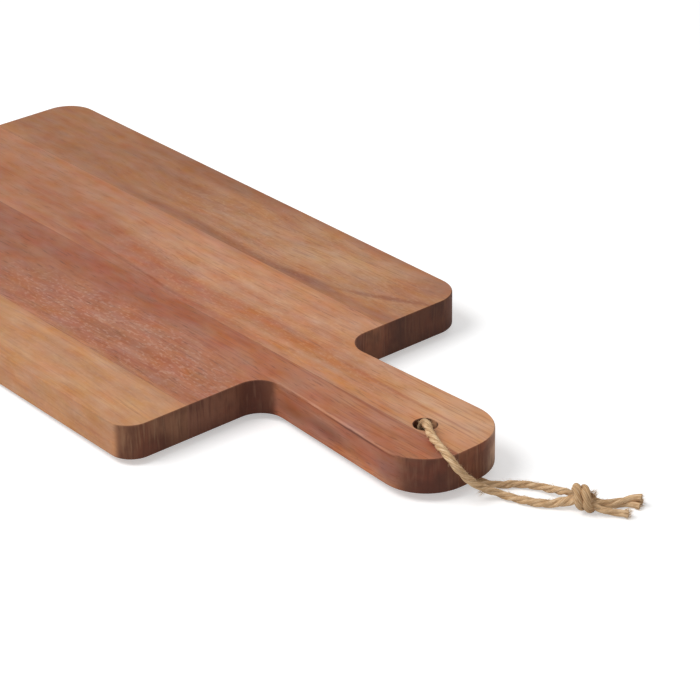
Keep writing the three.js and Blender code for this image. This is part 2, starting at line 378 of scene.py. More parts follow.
def acacia_long_grain(tree, grain, ground, pores, flecks, streaks):
    """Four ground colours from dark to pale, then streaks, fibres, a field of flecks, and pores."""
    lines = add_node(tree, "ShaderNodeMath", {0: grain["line"], 1: LINE_SHARE},
                     operation="MULTIPLY").outputs[0]
    pattern = add_node(tree, "ShaderNodeMath", {0: grain["band"], 1: BAND_SHARE, 2: lines},
                       operation="MULTIPLY_ADD").outputs[0]
    ramp = add_node(tree, "ShaderNodeValToRGB", {"Fac": pattern})
    for _ in ground[2:]:
        ramp.color_ramp.elements.new(0.5)
    for element, position, code in zip(ramp.color_ramp.elements, GROUND_STOPS, ground):
        element.position = position
        element.color = linear(code)
    colour = ramp.outputs["Color"]
    for mark in streaks:
        colour = streak(tree, grain, colour, *mark)
    colour = tint(tree, colour, ground[0], grain["fibre"], low=0.52, high=0.3, strength=0.6)
    fleck_code, fleck_strength, *field = flecks
    in_field = add_node(tree, "ShaderNodeMapRange",
                        {"Value": ellipse(tree, grain, *field, 0), "From Max": FIELD_FULL,
                         "To Max": fleck_strength}, interpolation_type="SMOOTHSTEP").outputs[0]
    colour = tint(tree, colour, fleck_code, grain["fleck"], low=0.5, high=0.68, strength=in_field)
    return tint(tree, colour, PORE_COLOUR, grain["pore"], low=0.42, high=0.28, strength=pores)


# %% Mottle
MOTTLE_SIZE = (14, 6, 6)  # in mm
MOTTLE_NOISE = 0.25, 0.75  # the span of noise that takes a shift from least to most
MOTTLE_SHIFTS = (  # middle value and the most to each side of it
    ("Hue", 0.5, 0.007), ("Saturation", 1, 0.12), ("Value", 1, 0.1),
)


def mottle(tree, grain, colour):
    """Small drifts of hue, saturation and lightness."""
    patches = add_node(tree, "ShaderNodeMapping",
                       {"Vector": grain["along"], "Scale": [1 / side for side in MOTTLE_SIZE]})
    drift = add_node(tree, "ShaderNodeTexNoise",
                     {"Vector": patches.outputs[0], "Scale": 1, "Detail": 4}).outputs["Color"]
    split = add_node(tree, "ShaderNodeSeparateColor", {0: drift})
    least, most = MOTTLE_NOISE
    shifts = {"Color": colour}
    for channel, (name, middle, reach) in enumerate(MOTTLE_SHIFTS):
        shifts[name] = add_node(tree, "ShaderNodeMapRange",
                                {"Value": split.outputs[channel],
                                 "From Min": least, "From Max": most,
                                 "To Min": middle - reach, "To Max": middle + reach}).outputs[0]
    return add_node(tree, "ShaderNodeHueSaturation", shifts).outputs[0]


# %% Colour of the sawn ends
END_SHIFT = 5.7  # from one noise to the next, so that they differ


def acacia_end_grain(tree, grain, dark, mid, red, pale, patches):
    """Patches, blotches, dark and pale saw marks about 1 mm apart, and painted shade near the table.
    """
    colour = linear(mid)
    for mark in patches:
        colour = streak(tree, grain, colour, *mark)
    marks = (  # colour, size in mm, noise where it starts and where it is full, strength
        (red, (40, 14, 10), 0.5, 0.68, 0.6), (dark, (40, 9, 12), 0.54, 0.34, 0.5),
        (dark, (40, 0.8, 10), 0.5, 0.3, 0.45), (pale, (40, 1.1, 12), 0.5, 0.7, 0.4),
    )
    for turn, (code, size, low, high, strength) in enumerate(marks):
        placed = add_node(tree, "ShaderNodeMapping",
                          {"Vector": grain["place"], "Location": (0, END_SHIFT * turn, 0),
                           "Scale": [1 / side for side in size]}).outputs[0]
        blotch = add_node(tree, "ShaderNodeTexNoise",
                          {"Vector": placed, "Scale": 1, "Detail": 2}).outputs["Fac"]
        colour = tint(tree, colour, code, blotch, low, high, strength)
    # painted shade: the sawn ends grow darker towards the table, by height
    height = add_node(tree, "ShaderNodeSeparateXYZ", {0: grain["place"]}).outputs["Z"]
    return tint(tree, colour, dark, height, low=11, high=2, strength=0.6)  # heights in mm


# %% Put the acacia together
LONG_BELOW, END_ABOVE = 0.12, 0.45  # shares of X in the normal of a long face and of a sawn end
LEAST_ROUGH, MOST_ROUGH = 0.52, 0.72
OILED_SPECULAR = 0.35
GRAIN_RELIEF = 0.05 * MM


def oiled_acacia(name, wander, ground, pores, flecks, ends, streaks):
    material, tree, shader = new_material(name)
    grain = acacia_grain(tree, wander)
    long_colour = acacia_long_grain(tree, grain, ground, pores, flecks, streaks)
    long_colour = mottle(tree, grain, long_colour)
    end_colour = acacia_end_grain(tree, grain, *ends)
    normal = add_node(tree, "ShaderNodeNewGeometry", {}).outputs["Normal"]
    turned = add_node(tree, "ShaderNodeSeparateXYZ", {0: normal}).outputs["X"]
    endwise = add_node(tree, "ShaderNodeMath", {0: turned}, operation="ABSOLUTE").outputs[0]
    share = add_node(tree, "ShaderNodeMapRange",
                     {"Value": endwise, "From Min": LONG_BELOW, "From Max": END_ABOVE},
                     interpolation_type="SMOOTHSTEP").outputs[0]
    colour = add_node(tree, "ShaderNodeMix", {0: share, 6: long_colour, 7: end_colour},
                      data_type="RGBA")
    tree.links.new(colour.outputs[2], shader.inputs["Base Color"])
    rough = add_node(tree, "ShaderNodeMapRange",
                     {"Value": grain["fibre"], "To Min": LEAST_ROUGH, "To Max": MOST_ROUGH})
    tree.links.new(rough.outputs[0], shader.inputs["Roughness"])
    shader.inputs["Specular IOR Level"].default_value = OILED_SPECULAR
    relief = add_node(tree, "ShaderNodeBump",
                      {"Strength": 0.25, "Distance": GRAIN_RELIEF, "Height": grain["fibre"]})
    tree.links.new(relief.outputs[0], shader.inputs["Normal"])
    print(name, "has", len(tree.nodes), "nodes")
    return material


def finish_stave(node_name, **finish):
    """Ground is four colours from dark to pale. A mark is a colour, a centre and a size in mm, a
    turn in degrees and a strength. Flecks are a colour, a strength, and the centre and size of
    their field. Ends are a dark, a mid, a red and a pale colour, then marks of their own."""
    material = oiled_acacia("oiled acacia, " + node_name.replace("_", " "), **finish)
    staves[node_name].data.materials.append(material)


# %% [markdown]
# ## One finish for each stave
# The staves come from different boards, so each has its own ground colours and marks: a pale tan
# edge, a red-brown stave with pale flecks, an orange-tan one with thin dark lines, and a brown one
# with slanting figure and a dark patch at its joint. One material for all four would hide the
# joints. Most streaks go right through the wood. Those on the handle's side and its upper edge, in
# the hole and on the sawn ends are patches with a height of their own. Some marks are painted light:
# a broad painted shade at the back of each stave, painted shade in the hole and the handle's inside
# corner, and painted highlights on the handle's upper edge and on the far side of its tip.

# %% The pale tan near edge
finish_stave(
    "near_edge_stave",
    wander=4, ground=("#a87350", "#b68057", "#bb865e", "#c5946c"), pores=0.14,
    flecks=("#cda27c", 0.15, (60, -75, 0), (300, 60, THROUGH)),
    ends=("#4c2412", "#80543a", "#7c432c", "#967052",
          [("#6a3218", (95, -80, 8), (12, 14, 40), 0, 0.8),
           ("#4e2208", (93, -73, 6), (60, 18, 16), 0, 0.9)]),
    streaks=[("#ad754f", (60, -58.6, 0), (500, 6, THROUGH), 0, 0.6),
             ("#a4704c", (60, -70, 0), (170, 6, THROUGH), -2, 0.35),
             ("#c69468", (75, -72, 0), (60, 10, THROUGH), 0, 0.5),
             # painted shade: a broad darker ellipse at the back, where less lamp light falls
             ("#a06c49", (-150, -75, 0), (330, 90, THROUGH), 0, 0.6)])

# %% The red-brown near part of the handle
finish_stave(
    "near_handle_stave",
    wander=5, ground=("#8f5138", "#a06245", "#a96b4d", "#b47a5c"), pores=0.5,
    flecks=("#c49a84", 0.38, (25, -41, 0), (220, 48, THROUGH)),
    ends=("#4c2414", "#7a4c36", "#743a26", "#805640",
          [("#4c2012", (183, -15, 9), (24, 24, 50), 0, 0.8),
           # darkens the inside corner at the handle's root: partly darker end grain, partly painted
           # shade
           ("#4c1f0c", (98, -28, 9), (40, 20, 50), 0, 0.85)]),
    streaks=[("#ae7654", (60, -58, 0), (500, 7, THROUGH), 0, 0.6),
             ("#96543a", (-10, -16, 0), (220, 24, THROUGH), -1, 0.7),
             ("#ab6743", (85, -13, 0), (120, 18, THROUGH), 1, 0.6),
             ("#8a5b4c", (8, -15.5, 0), (26, 7, THROUGH), 0, 0.5),
             ("#9a4a2e", (35, -15, 0), (24, 6, THROUGH), 0, 0.5),
             ("#8a5038", (67, -12, 0), (22, 4, THROUGH), 0, 0.5),
             ("#b87e5c", (132, -10, 0), (90, 12, THROUGH), 0, 0.6),
             ("#8a4a30", (130, -6.6, 0), (110, 1.8, THROUGH), 0, 0.6),
             ("#8f5a44", (25, -43, 0), (90, 8, THROUGH), 0, 0.5),
             ("#925a42", (20, -54, 0), (240, 7, THROUGH), 0, 0.5),
             ("#a67260", (10, -36, 0), (120, 10, THROUGH), 2, 0.4),
             # painted shade: a broad darker ellipse at the back, where less lamp light falls
             ("#87553f", (-150, -30, 0), (330, 90, THROUGH), 0, 0.6),
             ("#a5644a", (133, -23, 9), (150, 9, 60), -2.7, 0.6),
             ("#84503c", (110, -22, 9), (34, 7, 9), -2.7, 0.6),
             ("#804c3c", (132, -22.5, 10.5), (36, 7, 9), -2.7, 0.8),
             ("#7c4a3a", (172, -24, 12), (24, 10, 22), 0, 0.6),
             ("#c07a52", (152, -24, 5), (60, 8, 7), -2.7, 0.7),
             ("#5e2c20", (154, -23.4, 17.3), (60, 6, 1.5), -2.7, 0.75),
             # painted highlight: a pale line along the eased upper edge of the handle's near side
             ("#cf9c80", (133, -22.2, 18.2), (120, 2.4, 1.6), -2.7, 0.5)])

# %% The orange-tan far part of the handle, with painted shade inside the hole
finish_stave(
    "far_handle_stave",
    wander=4, ground=("#a86e4d", "#b87d5a", "#c08865", "#c89674"), pores=0.3,
    flecks=("#d3a481", 0.2, (60, 15, 0), (300, 60, THROUGH)),
    ends=("#4e2614", "#844e33", "#7a4028", "#9c7254",
          [("#93603f", (93, 36, 9), (40, 14, 40), 0, 0.6),
           # painted highlight: a pale patch on the far side of the handle's sawn tip
           ("#d0a889", (189, 16, 9), (40, 22, 50), 0, 0.8),
           # painted shade: a dark patch on the hole's sawn walls, where shade falls inside the hole
           ("#2e1408", (165, 0, 9), (24, 24, 80), 0, 0.9)]),
    streaks=[("#ac6843", (35, 7.5, 0), (220, 17, THROUGH), 1.5, 0.8),
             ("#a5644a", (-35, 8, 0), (200, 26, THROUGH), -3, 0.85),
             ("#9f5f46", (-20, -3.5, 0), (250, 13, THROUGH), -1, 0.95),
             ("#86482f", (-25, -0.3, 0), (130, 3, THROUGH), -3.8, 0.6),
             ("#a2592f", (70, 11.8, 0), (70, 2.6, THROUGH), 1, 0.5),
             ("#bf7b47", (105, -2, 0), (150, 8, THROUGH), 0, 0.8),
             ("#d6a47a", (168, 13, 0), (110, 36, THROUGH), 0, 0.6),
             ("#b3703f", (110, 7, 0), (120, 13, THROUGH), 0, 0.7),
             ("#a87050", (-40, 42.5, 0), (190, 5, THROUGH), 0, 0.6),
             ("#a05c3c", (140, 9, 0), (120, 2.8, THROUGH), -1.7, 0.5),
             # painted shade: a dark patch on the hole's long-grain walls, under its rim
             ("#3a1c0e", (165, 0, 11.5), (40, 40, 13), 0, 0.9),
             # painted shade: a broad darker ellipse at the back, where less lamp light falls
             ("#8f5537", (-150, 18, 0), (330, 90, THROUGH), 0, 0.6)])

# %% The brown far edge
finish_stave(
    "far_edge_stave",
    wander=11, ground=("#9a6444", "#a8724f", "#b07b57", "#b98964"), pores=0.25,
    flecks=("#c79f7e", 0.2, (20, 65, 0), (260, 60, THROUGH)),
    ends=("#3c1b0c", "#5e321b", "#5c2a14", "#744a30",
          [("#84482c", (93, 43, 9), (40, 8, 40), 0, 0.6)]),
    streaks=[("#8a5439", (-10, 45, 0), (280, 12, THROUGH), 0, 0.8),
             ("#7c4836", (36, 47, 0), (50, 9, THROUGH), 5, 0.6),
             ("#8c5840", (-75, 72, 0), (70, 7, THROUGH), 3, 0.5),
             ("#84492f", (76, 61, 0), (64, 5.5, THROUGH), 26, 0.65),
             ("#c59a75", (35, 70, 0), (90, 26, THROUGH), 20, 0.6),
             ("#c09070", (-8, 69, 0), (70, 14, THROUGH), 8, 0.5),
             ("#8f5535", (10, 90, 0), (300, 12, THROUGH), 0, 0.4),
             ("#9a5a3c", (82, 82, 0), (50, 22, THROUGH), 0, 0.55),
             ("#96563c", (90, 47, 0), (36, 12, THROUGH), 0, 0.5),
             ("#7d482e", (-70, 85, 0), (180, 16, THROUGH), 0, 0.6),
             # painted shade: a broad darker ellipse at the back, where less lamp light falls
             ("#84512f", (-150, 65, 0), (330, 90, THROUGH), 0, 0.5)])

# %% [markdown]
# ## Glue lines
# Wood glue dries to a brown film, sanded flush with the wood. It could be modelled again, but the
# films are true in the CAD. So its own nodes stay and only get a finish: dried glue with the wood
# dust that sanding rubs into it.

# %% Finish the glue lines
GLUE_LINES = ("near_glue_line", "middle_glue_line", "far_glue_line")
DUST_SIZE = (20, 2, 2)  # patches of dust along a joint, in mm

glue, glue_tree, glue_shader = new_material("dried wood glue with sanding dust")
glue_spot = add_node(glue_tree, "ShaderNodeTexCoord", {}).outputs["Object"]
dust_place = add_node(glue_tree, "ShaderNodeMapping",
                      {"Vector": glue_spot, "Scale": [1 / (side * MM) for side in DUST_SIZE]})
dust = add_node(glue_tree, "ShaderNodeTexNoise",
                {"Vector": dust_place.outputs[0], "Scale": 1, "Detail": 3}).outputs["Fac"]
dusty = add_node(glue_tree, "ShaderNodeMix", {0: dust, 6: linear("#5a3524"), 7: linear("#8f5f45")},
                 data_type="RGBA")
glue_tree.links.new(dusty.outputs[2], glue_shader.inputs["Base Color"])
glue_shader.inputs["Roughness"].default_value = 0.6
for node_name in GLUE_LINES:
    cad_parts[node_name].material_slots[0].material = glue
print("glue lines finished:", len(GLUE_LINES))

# %% [markdown]
# ## The cord's route
# One length of limp twine goes up through the hole, over the handle's end and down to the table.
# Its other half runs under the handle. The halves meet in the knot, and each leaves it as a loose
# tail. A simulation could let the twine fall, but it has to lie where the CAD's cord lies. So the
# points are the CAD's own, counted from the table under the hole's axis, and a few more lead each
# half through the knot. A smooth line through them is measured off in even steps.

# %% Points of the two halves, in millimetres
OVER_HANDLE = [
    (3.3, 1.6, 1.7), (1.2, 1.0, 2.2), (-0.9, 0.5, 3.6), (-2.2, 0.1, 5.7), (-2.7, 0.0, 8.2),
    (-2.7, 0.0, 11.2), (-2.7, 0.0, 14.0), (-2.2, -0.1, 16.7), (-0.8, -0.5, 18.9),
    (1.4, -1.5, 20.4), (4.1, -2.9, 21.0), (8.9, -5.8, 20.9), (15.1, -8.5, 20.8),
    (21.1, -10.7, 20.9), (25.6, -11.5, 19.8), (28.7, -10.7, 17.0), (30.2, -8.5, 13.4),
    (31.0, -5.0, 9.3), (31.9, -1.2, 6.0), (33.6, 2.2, 3.8), (36.6, 5.0, 2.4), (41.0, 7.3, 1.8),
    (46.0, 9.7, 1.8), (51.4, 13.2, 1.8), (54.4, 16.0, 2.2), (56.2, 18.0, 2.9),
]
OVER_IN_KNOT = [(59.5, 20.6, 4.1), (62.6, 22.4, 4.6), (66.0, 24.2, 3.4)]
SHORT_TAIL = [
    (69.6, 25.1, 2.5), (71.1, 26.8, 2.2), (73.3, 28.6, 1.8), (75.4, 30.2, 1.8), (77.3, 31.6, 1.8),
]
UNDER_HANDLE = [
    (3.6, 1.7, 1.7), (10.0, 3.3, 1.7), (17.0, 4.9, 1.7), (23.5, 6.4, 1.7), (27.6, 7.8, 1.7),
    (30.6, 10.2, 1.7), (35.0, 15.8, 1.7), (41.0, 19.7, 1.9), (46.8, 21.0, 2.8), (51.6, 20.9, 4.3),
    (54.6, 20.6, 5.4),
]
UNDER_IN_KNOT = [(58.4, 21.2, 6.1), (62.0, 22.8, 5.1), (65.2, 25.4, 3.9)]
LONG_TAIL = [
    (67.2, 28.0, 3.2), (68.2, 29.6, 2.7), (68.8, 32.0, 2.1), (69.4, 34.8, 1.8), (70.7, 37.5, 1.8),
    (72.7, 39.4, 1.9), (75.0, 40.7, 1.9),
]
print("points:", len(OVER_HANDLE), "over the handle and", len(UNDER_HANDLE), "under it")

# %% A smooth line in even steps
LINE_STEP = 0.4 * MM
CURVE_POINTS = 24  # between two points of a route, before the even steps are measured off


def from_hole(x, y, z):
    """A place counted in mm from the table under the hole's axis."""
    return Vector((hole_x + x * MM, y * MM, z * MM))


def headings_along(places):
    """At each place, the way from the one before it to the one after it."""
    last = len(places) - 1
    return [(places[min(i + 1, last)] - places[max(i - 1, 0)]).normalized()
            for i in range(last + 1)]


def smooth_line(points):
    places = [from_hole(*point) for point in points]
    leads = headings_along(places)
    fine = [places[0]]
    for i in range(len(places) - 1):
        reach = (places[i + 1] - places[i]).length / 3
        fine += geometry.interpolate_bezier(
            places[i], places[i] + leads[i] * reach,
            places[i + 1] - leads[i + 1] * reach, places[i + 1], CURVE_POINTS)[1:]
    line, left = [fine[0]], LINE_STEP
    for a, b in zip(fine, fine[1:]):
        while (b - a).length > left:
            a = a + (b - a).normalized() * left
            line.append(a)
            left = LINE_STEP
        left -= (b - a).length
    return line


over_line = smooth_line(OVER_HANDLE + OVER_IN_KNOT + SHORT_TAIL)
under_line = smooth_line(UNDER_HANDLE + UNDER_IN_KNOT + LONG_TAIL)

# %% [markdown]
# ## Twisted jute
# The twine is three plies laid together, so its section has three lobes that turn as it goes
# along. A round tube with bump in its material would keep a plain outline. So a cylinder with many
# rings is bent along the line, and each point's distance from the middle follows the lobes. Where
# an end is cut nothing holds the lay: from there each ply is a cylinder of its own, and the plies
# wind less and move apart, with the first on top. In the knot one half swells and the other is
# squeezed, and the tails differ too, so each half has its own girth at stations along it. Each
# point keeps its place on the section and along the twine as an attribute, for the finish.

# %% The lay of the plies along a line
LAY_LENGTH = 18 * MM  # one full turn of a ply; they lean like the middle of the letter S
PLIES = 3
PLY_OFFSET = 0.66 * MM  # from the twine's middle to a ply's
PLY_RADIUS = CORD_DIAMETER / 2 - PLY_OFFSET


def line_frames(line):
    """At each point of a line, its heading and two ways square to it, with the least turning."""
    headings = headings_along(line)
    sides = [headings[0].orthogonal().normalized()]
    for before, after in zip(headings, headings[1:]):
        sides.append(before.rotation_difference(after) @ sides[-1])
    return [(heading, side, heading.cross(side)) for heading, side in zip(headings, sides)]


def lay_frames(line, open_steps):
    """At each point of a line, the way out to the first ply, the way square to it, and how far the
    lay has opened, from none to one at the cut end."""
    frames = line_frames(line)
    last = len(line) - 1
    on_top = math.atan2(frames[last][2].z, frames[last][1].z)
    for i, (heading, side, lift) in enumerate(frames):
        opened = max(0.0, 1 - (last - i) / max(open_steps, 1))
        wound = (last - i - open_steps / 2 * (1 - opened ** 2)) * LINE_STEP
        turned = on_top + 2 * math.pi * wound / LAY_LENGTH
        out = side * math.cos(turned) + lift * math.sin(turned)
        yield out, heading.cross(out), opened


def lobe(angle):
    """Distance from the middle of the twine to the outside of three overlapping round plies."""
    third = 2 * math.pi / PLIES
    turned = (angle + third / 2) % third - third / 2
    sideways = PLY_OFFSET * math.sin(turned)
    return PLY_OFFSET * math.cos(turned) + math.sqrt(PLY_RADIUS ** 2 - sideways ** 2)


groove, crest = lobe(math.pi / PLIES), lobe(0)
print("twine from", round(groove / MM, 2), "to", round(crest / MM, 2), "mm in radius")


# %% Bend a cylinder, and read the girth along it
def bend_cylinder(bm, rings, points, place):
    """Adds a cylinder and sets each point by its ring and angle: place gives spot and attribute."""
    layers = bm.verts.layers.float_vector
    fibre = layers.get("fibre") or layers.new("fibre")
    made = bmesh.ops.create_cone(bm, cap_ends=True, segments=points,
                                 radius1=1, radius2=1, depth=1)["verts"]
    long_edges = {e for v in made for e in v.link_edges
                  if abs(e.verts[0].co.z - e.verts[1].co.z) > 0.5}  # from end to end
    bmesh.ops.subdivide_edges(bm, edges=list(long_edges), cuts=len(rings) - 2)
    for v in bm.verts:
        if v[fibre].length == 0:  # not set by an earlier call
            i = rings[round((v.co.z + 0.5) * (len(rings) - 1))]
            v.co, v[fibre] = place(i, math.atan2(v.co.y, v.co.x))


def girth_at(girths, along):
    """Girth between stations along the twine, each given as a distance in mm and a girth."""
    for (start, before), (end, after) in zip(girths, girths[1:]):
        if along <= end:
            return before + (after - before) * max(0.0, along - start) / (end - start)
    return girths[-1][1]


# %% Lay a length of twine
TWINE_POINTS, PLY_POINTS = 24, 16  # round the closed twine and round one open ply
PLY_OVERLAP = 3  # steps by which the open plies start inside the closed twine
UNEVENNESS = 0.16  # most that thick and thin places differ from the girth, as a share
UNEVEN_LENGTH = 4 * MM
UNEVEN_SHIFT = 9  # from ply to ply, so that they differ


def lay_cord(bm, line, girths, open_steps=0, spread=0.0, swell=0.0):
    """Adds one length of twine along a line and returns the middles of its cut plies. Its lay opens
    over the last steps: at the cut the plies have moved out by spread and grown by swell."""
    lay = list(lay_frames(line, open_steps))
    sizes = [girth_at(girths, i * LINE_STEP / MM) for i in range(len(line))]

    def uneven(i, ply):
        spot = line[i] / UNEVEN_LENGTH + Vector((0, 0, UNEVEN_SHIFT * ply))
        return sizes[i] * (1 + UNEVENNESS * noise.noise(spot))

    def on_twine(i, angle):
        across = Vector((math.cos(angle), math.sin(angle))) * (lobe(angle) * uneven(i, 0))
        spot = line[i] + lay[i][0] * across.x + lay[i][1] * across.y
        spot.z = max(spot.z, 0.0)
        return spot, (*(across / MM), 1 + i * LINE_STEP / MM)

    def ply_middle(i, ply, radius):
        seat = 2 * math.pi * ply / PLIES
        reach = PLY_OFFSET * sizes[i] + spread * lay[i][2] ** 2
        middle = line[i] + (lay[i][0] * math.cos(seat) + lay[i][1] * math.sin(seat)) * reach
        middle.z = max(middle.z, radius)
        return middle

    closed = len(line) - open_steps
    bend_cylinder(bm, range(closed), TWINE_POINTS, on_twine)
    cut_middles = []
    for ply in range(PLIES if open_steps else 0):
        def on_ply(i, angle):
            radius = PLY_RADIUS * uneven(i, ply) * (1 + swell * lay[i][2] ** 2)
            across = Vector((math.cos(angle), math.sin(angle))) * radius
            spot = ply_middle(i, ply, radius) + lay[i][0] * across.x + lay[i][1] * across.y
            # open plies get a distance past the groove range, so they take no painted groove shade
            return spot, (*(across.normalized() * CORD_DIAMETER / 2 / MM), 1 + i * LINE_STEP / MM)

        bend_cylinder(bm, range(closed - PLY_OVERLAP, len(line)), PLY_POINTS, on_ply)
        cut_middles.append(ply_middle(len(line) - 1, ply, PLY_RADIUS))
    return cut_middles


# %% Lay the two halves
# Stations along each half: distance in mm, and girth as a share of the plain twine's
OVER_GIRTHS = ((0, 1.0), (100, 1.0), (106, 1.3), (110, 1.3), (116, 0.85))
UNDER_GIRTHS = ((0, 0.9), (54, 0.9), (60, 0.75), (64, 0.75), (70, 1.05))

over_half = bmesh.new()
short_cut = lay_cord(over_half, over_line, OVER_GIRTHS, open_steps=24, spread=0.1 * MM)
over_piece = finish_piece(over_half, "jute_over_handle", "cord",
                          "cord_through_hole", "cord_short_tail")
under_half = bmesh.new()
long_cut = lay_cord(under_half, under_line, UNDER_GIRTHS,
                    open_steps=40, spread=1.4 * MM, swell=0.25)
under_piece = finish_piece(under_half, "jute_under_handle", "cord",
                           "cord_under_handle", "cord_long_tail")

# %% [markdown]
# ## The knot
# Both ends are tied together in one overhand knot. The halves could be led through every turn of
# it, but most of that would be hidden. Its outside shows two turns of twine, side by side,
# slanting round the ends that pass through the middle. So each turn is more of the same twine on a
# short helix whose ends dive into the knot.

# %% Wrap the knot
KNOT_CENTRE = from_hole(62.3, 22.5, 5.3)
KNOT_TURN = math.radians(36.9)  # from X to the knot's axis
WRAPS = (  # place along the knot, pitch, radius and lift
    (-1.65 * MM, 5.3 * MM, 3.2 * MM, 0.3 * MM),
    (1.4 * MM, 4.8 * MM, 3.5 * MM, 0.1 * MM),
)
WRAP_GIRTHS = ((0, 1.1),)
WRAP_DEGREES = range(-50, 230, 31)  # round the knot, from its top to its front
WRAP_MIDDLE = 61  # degrees at which a turn is at its own place along the knot
TUCKS = ((-0.4 * MM, -95), (0.6 * MM, 275))  # how far along and at what degrees the two ends lie
TUCK_DEPTH = 0.4  # share of a turn's radius

knot_axis = Vector((math.cos(KNOT_TURN), math.sin(KNOT_TURN), 0))
knot_front = knot_axis.cross((0, 0, 1))


def knot_point(along, degrees, distance, lift):
    """A point round the knot's middle, turned from top to front, in mm from the hole's axis."""
    angle = math.radians(degrees)
    around = Vector((0, 0, 1)) * math.cos(angle) + knot_front * math.sin(angle)
    place = KNOT_CENTRE + knot_axis * along + around * distance + Vector((0, 0, lift))
    return ((place.x - hole_x) / MM, place.y / MM, place.z / MM)


knot = bmesh.new()
for middle, pitch, radius, lift in WRAPS:
    turns = [(middle + pitch * (a - WRAP_MIDDLE) / 360, a, radius, lift) for a in WRAP_DEGREES]
    tuck_in, tuck_out = [(middle + shift, a, radius * TUCK_DEPTH, lift) for shift, a in TUCKS]
    wrap_line = smooth_line([knot_point(*turn) for turn in (tuck_in, *turns, tuck_out)])
    lay_cord(knot, wrap_line, WRAP_GIRTHS)
knot_piece = finish_piece(knot, "jute_knot", "cord", "cord_knot")

# %% [markdown]
# ## Loose fibres
# Jute is spun from short fibres, so single ones stand off the twine all along it and the cut ends
# open like a brush. Two bundles have come loose, one just past the handle's end and one at the
# knot. Hair particles could grow them, but an exported model keeps only meshes. So each fibre is a
# thin curve of a few points, and the curves are turned into one mesh at the end.

# %% Grow one fibre
FIBRE_RADIUS = 0.05 * MM
FIBRE_STEPS = 3
FIBRE_BEND = 0.35  # how far its end strays, as a share of its length
FIBRE_TAPER = 0.6  # thickness lost at its end, as a share
chance = random.Random(11)


def any_direction():
    return Vector([chance.gauss(0, 1) for _ in range(3)]).normalized()


def grow_fibre(curve, start, lead, length):
    """One fibre from a point, thinner and more bent towards its end, never under the table."""
    strand = curve.splines.new("POLY")
    strand.points.add(FIBRE_STEPS)
    stray = any_direction() * FIBRE_BEND
    for step, point in enumerate(strand.points):
        share = step / FIBRE_STEPS
        place = start + (lead + stray * share) * length * share
        point.co = (place.x, place.y, max(place.z, FIBRE_RADIUS), 1)
        point.radius = 1 - FIBRE_TAPER * share


# %% Fibres along the twine
FUZZ_ROOT = 0.4  # from the twine's middle, as a share of its diameter
FUZZ_OUT, FUZZ_STRAY = 0.5, 0.3  # how much a fibre leans outwards and by chance
FUZZ_LENGTHS = 0.5, 2.0  # in mm
TOWARDS_TABLE = -0.3  # fibres that would look further down than this are left out


def fuzz(curve, line, first, last, each):
    """Fibres that lean along the twine, so many at each of its line's points from first to last."""
    frames = line_frames(line)
    for i in [i for i in range(first, last) for _ in range(each)]:
        heading, side, lift = frames[i]
        angle = chance.uniform(0, 2 * math.pi)
        out = side * math.cos(angle) + lift * math.sin(angle)
        if out.z > TOWARDS_TABLE:
            start = line[i] + out * CORD_DIAMETER * FUZZ_ROOT
            lead = out * FUZZ_OUT + heading * chance.choice((-1, 1)) + any_direction() * FUZZ_STRAY
            grow_fibre(curve, start, lead.normalized(), chance.uniform(*FUZZ_LENGTHS) * MM)


# %% Fibres at the cut ends and in bundles
BRUSH_ROOT = 1.2  # from a ply's middle, as a share of its radius
BRUSH_DEPTH = 1.5  # how far inside the ply a fibre starts, in mm
BRUSH_OUT, BRUSH_STRAY = 0.3, 0.08  # how much a fibre leans outwards and by chance
BRUSH_LENGTHS = 1.6, 2.8  # in mm
TUFT_STRAY = 0.4  # how much a fibre leans by chance
TUFT_LENGTHS = 0.4, 1.0  # shares of the longest


def brush(curve, line, cut_middles, count):
    """Fibres that stick out of each cut ply at the end of a line."""
    heading, side, lift = line_frames(line)[-1]
    for middle in [middle for middle in cut_middles for _ in range(count)]:
        angle, share = chance.uniform(0, 2 * math.pi), math.sqrt(chance.random())
        out = (side * math.cos(angle) + lift * math.sin(angle)) * share
        start = middle + out * PLY_RADIUS * BRUSH_ROOT - heading * BRUSH_DEPTH * MM
        lead = heading + out * BRUSH_OUT + any_direction() * BRUSH_STRAY
        grow_fibre(curve, start, lead.normalized(), chance.uniform(*BRUSH_LENGTHS) * MM)


def tuft(curve, place, radius, count, lead, longest):
    """A bundle of fibres that has come off the twine round one place."""
    for _ in range(count):
        start = place + any_direction() * radius
        strayed = lead + any_direction() * TUFT_STRAY
        grow_fibre(curve, start, strayed.normalized(), chance.uniform(*TUFT_LENGTHS) * longest)


# %% Make the fibres one mesh
FUZZ_EACH, BRUSH_EACH = 6, 50
OVER_FUZZ_START, UNDER_FUZZ_START = 40, 70  # steps to where each half comes out into the open
FUZZ_STOP = 8  # steps before the end, where the brush takes over
TUFTS = (  # place from the hole's axis and radius in mm, how many, lead, and the longest in mm
    ((32.6, 0.4, 4.9), 1.4, 60, (-0.45, -0.75, -0.5), 3.6),
    ((63.7, 25.5, 6.4), 1.2, 110, (0.5, 0.4, 0.4), 2.2),
)

